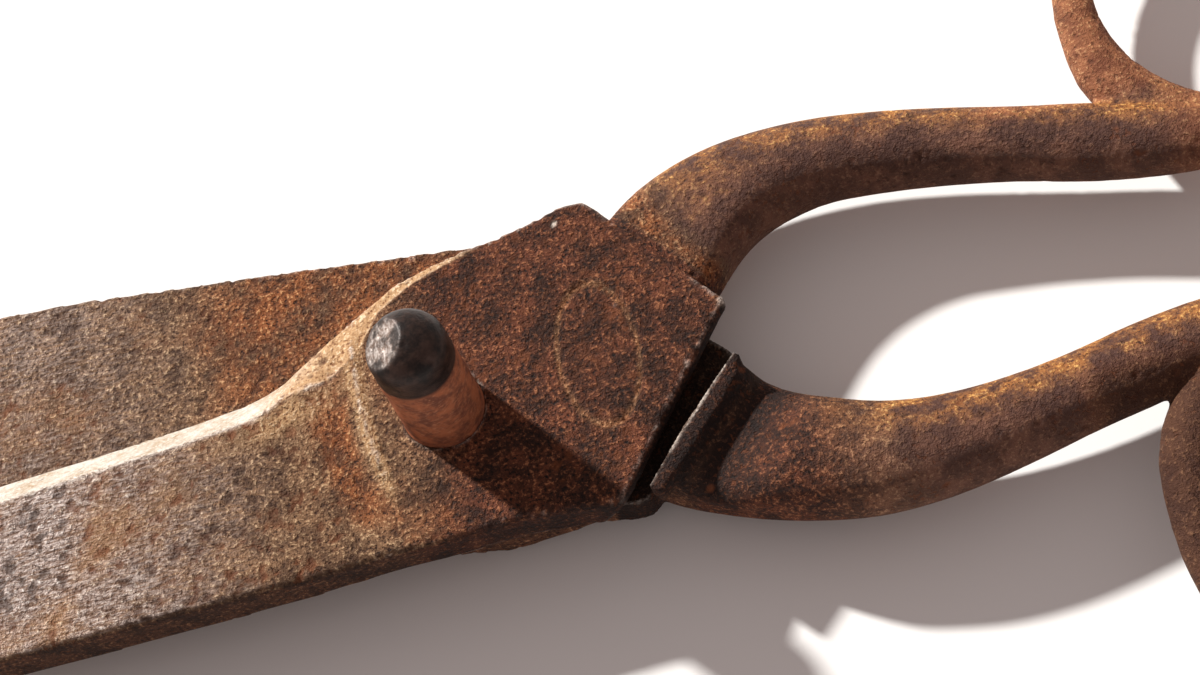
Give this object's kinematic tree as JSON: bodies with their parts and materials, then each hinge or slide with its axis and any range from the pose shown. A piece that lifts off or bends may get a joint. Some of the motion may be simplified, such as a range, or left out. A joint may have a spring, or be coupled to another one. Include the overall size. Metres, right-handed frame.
{
  "type": "forged metal-cutting hand shears",
  "caption": "Hand-forged shears for cutting sheet metal: two half-lapped blades with bowed shanks and finger bows, turning on a long standing pivot pin.",
  "frame": {"origin": "on the pivot axis, at the flat back of the rivet head the tool lies on", "axes": "+Z along the pivot towards the standing pin end, +X from the pivot towards the finger bows, +Y towards the front half's bow"},
  "size_m": [0.3119, 0.1462, 0.0413],
  "materials": {
    "front_forging": "rusted, pitted forged steel with worn grey patches on the blade",
    "rear_forging": "rusted, evenly pitted forged steel",
    "pin_steel": "red-brown rust with a dark rubbed end"
  },
  "bodies": {
    "front": {"front_half": "front_forging", "pivot_pin": "pin_steel"},
    "rear": {"rear_half": "rear_forging"}
  },
  "joints": [
    {"name": "pivot", "type": "hinge", "parent": "front", "child": "rear", "pos_m": [0, 0, 0.01075], "axis": [0, 0, 1], "range_deg": [-55, 7.5]}
  ]
}
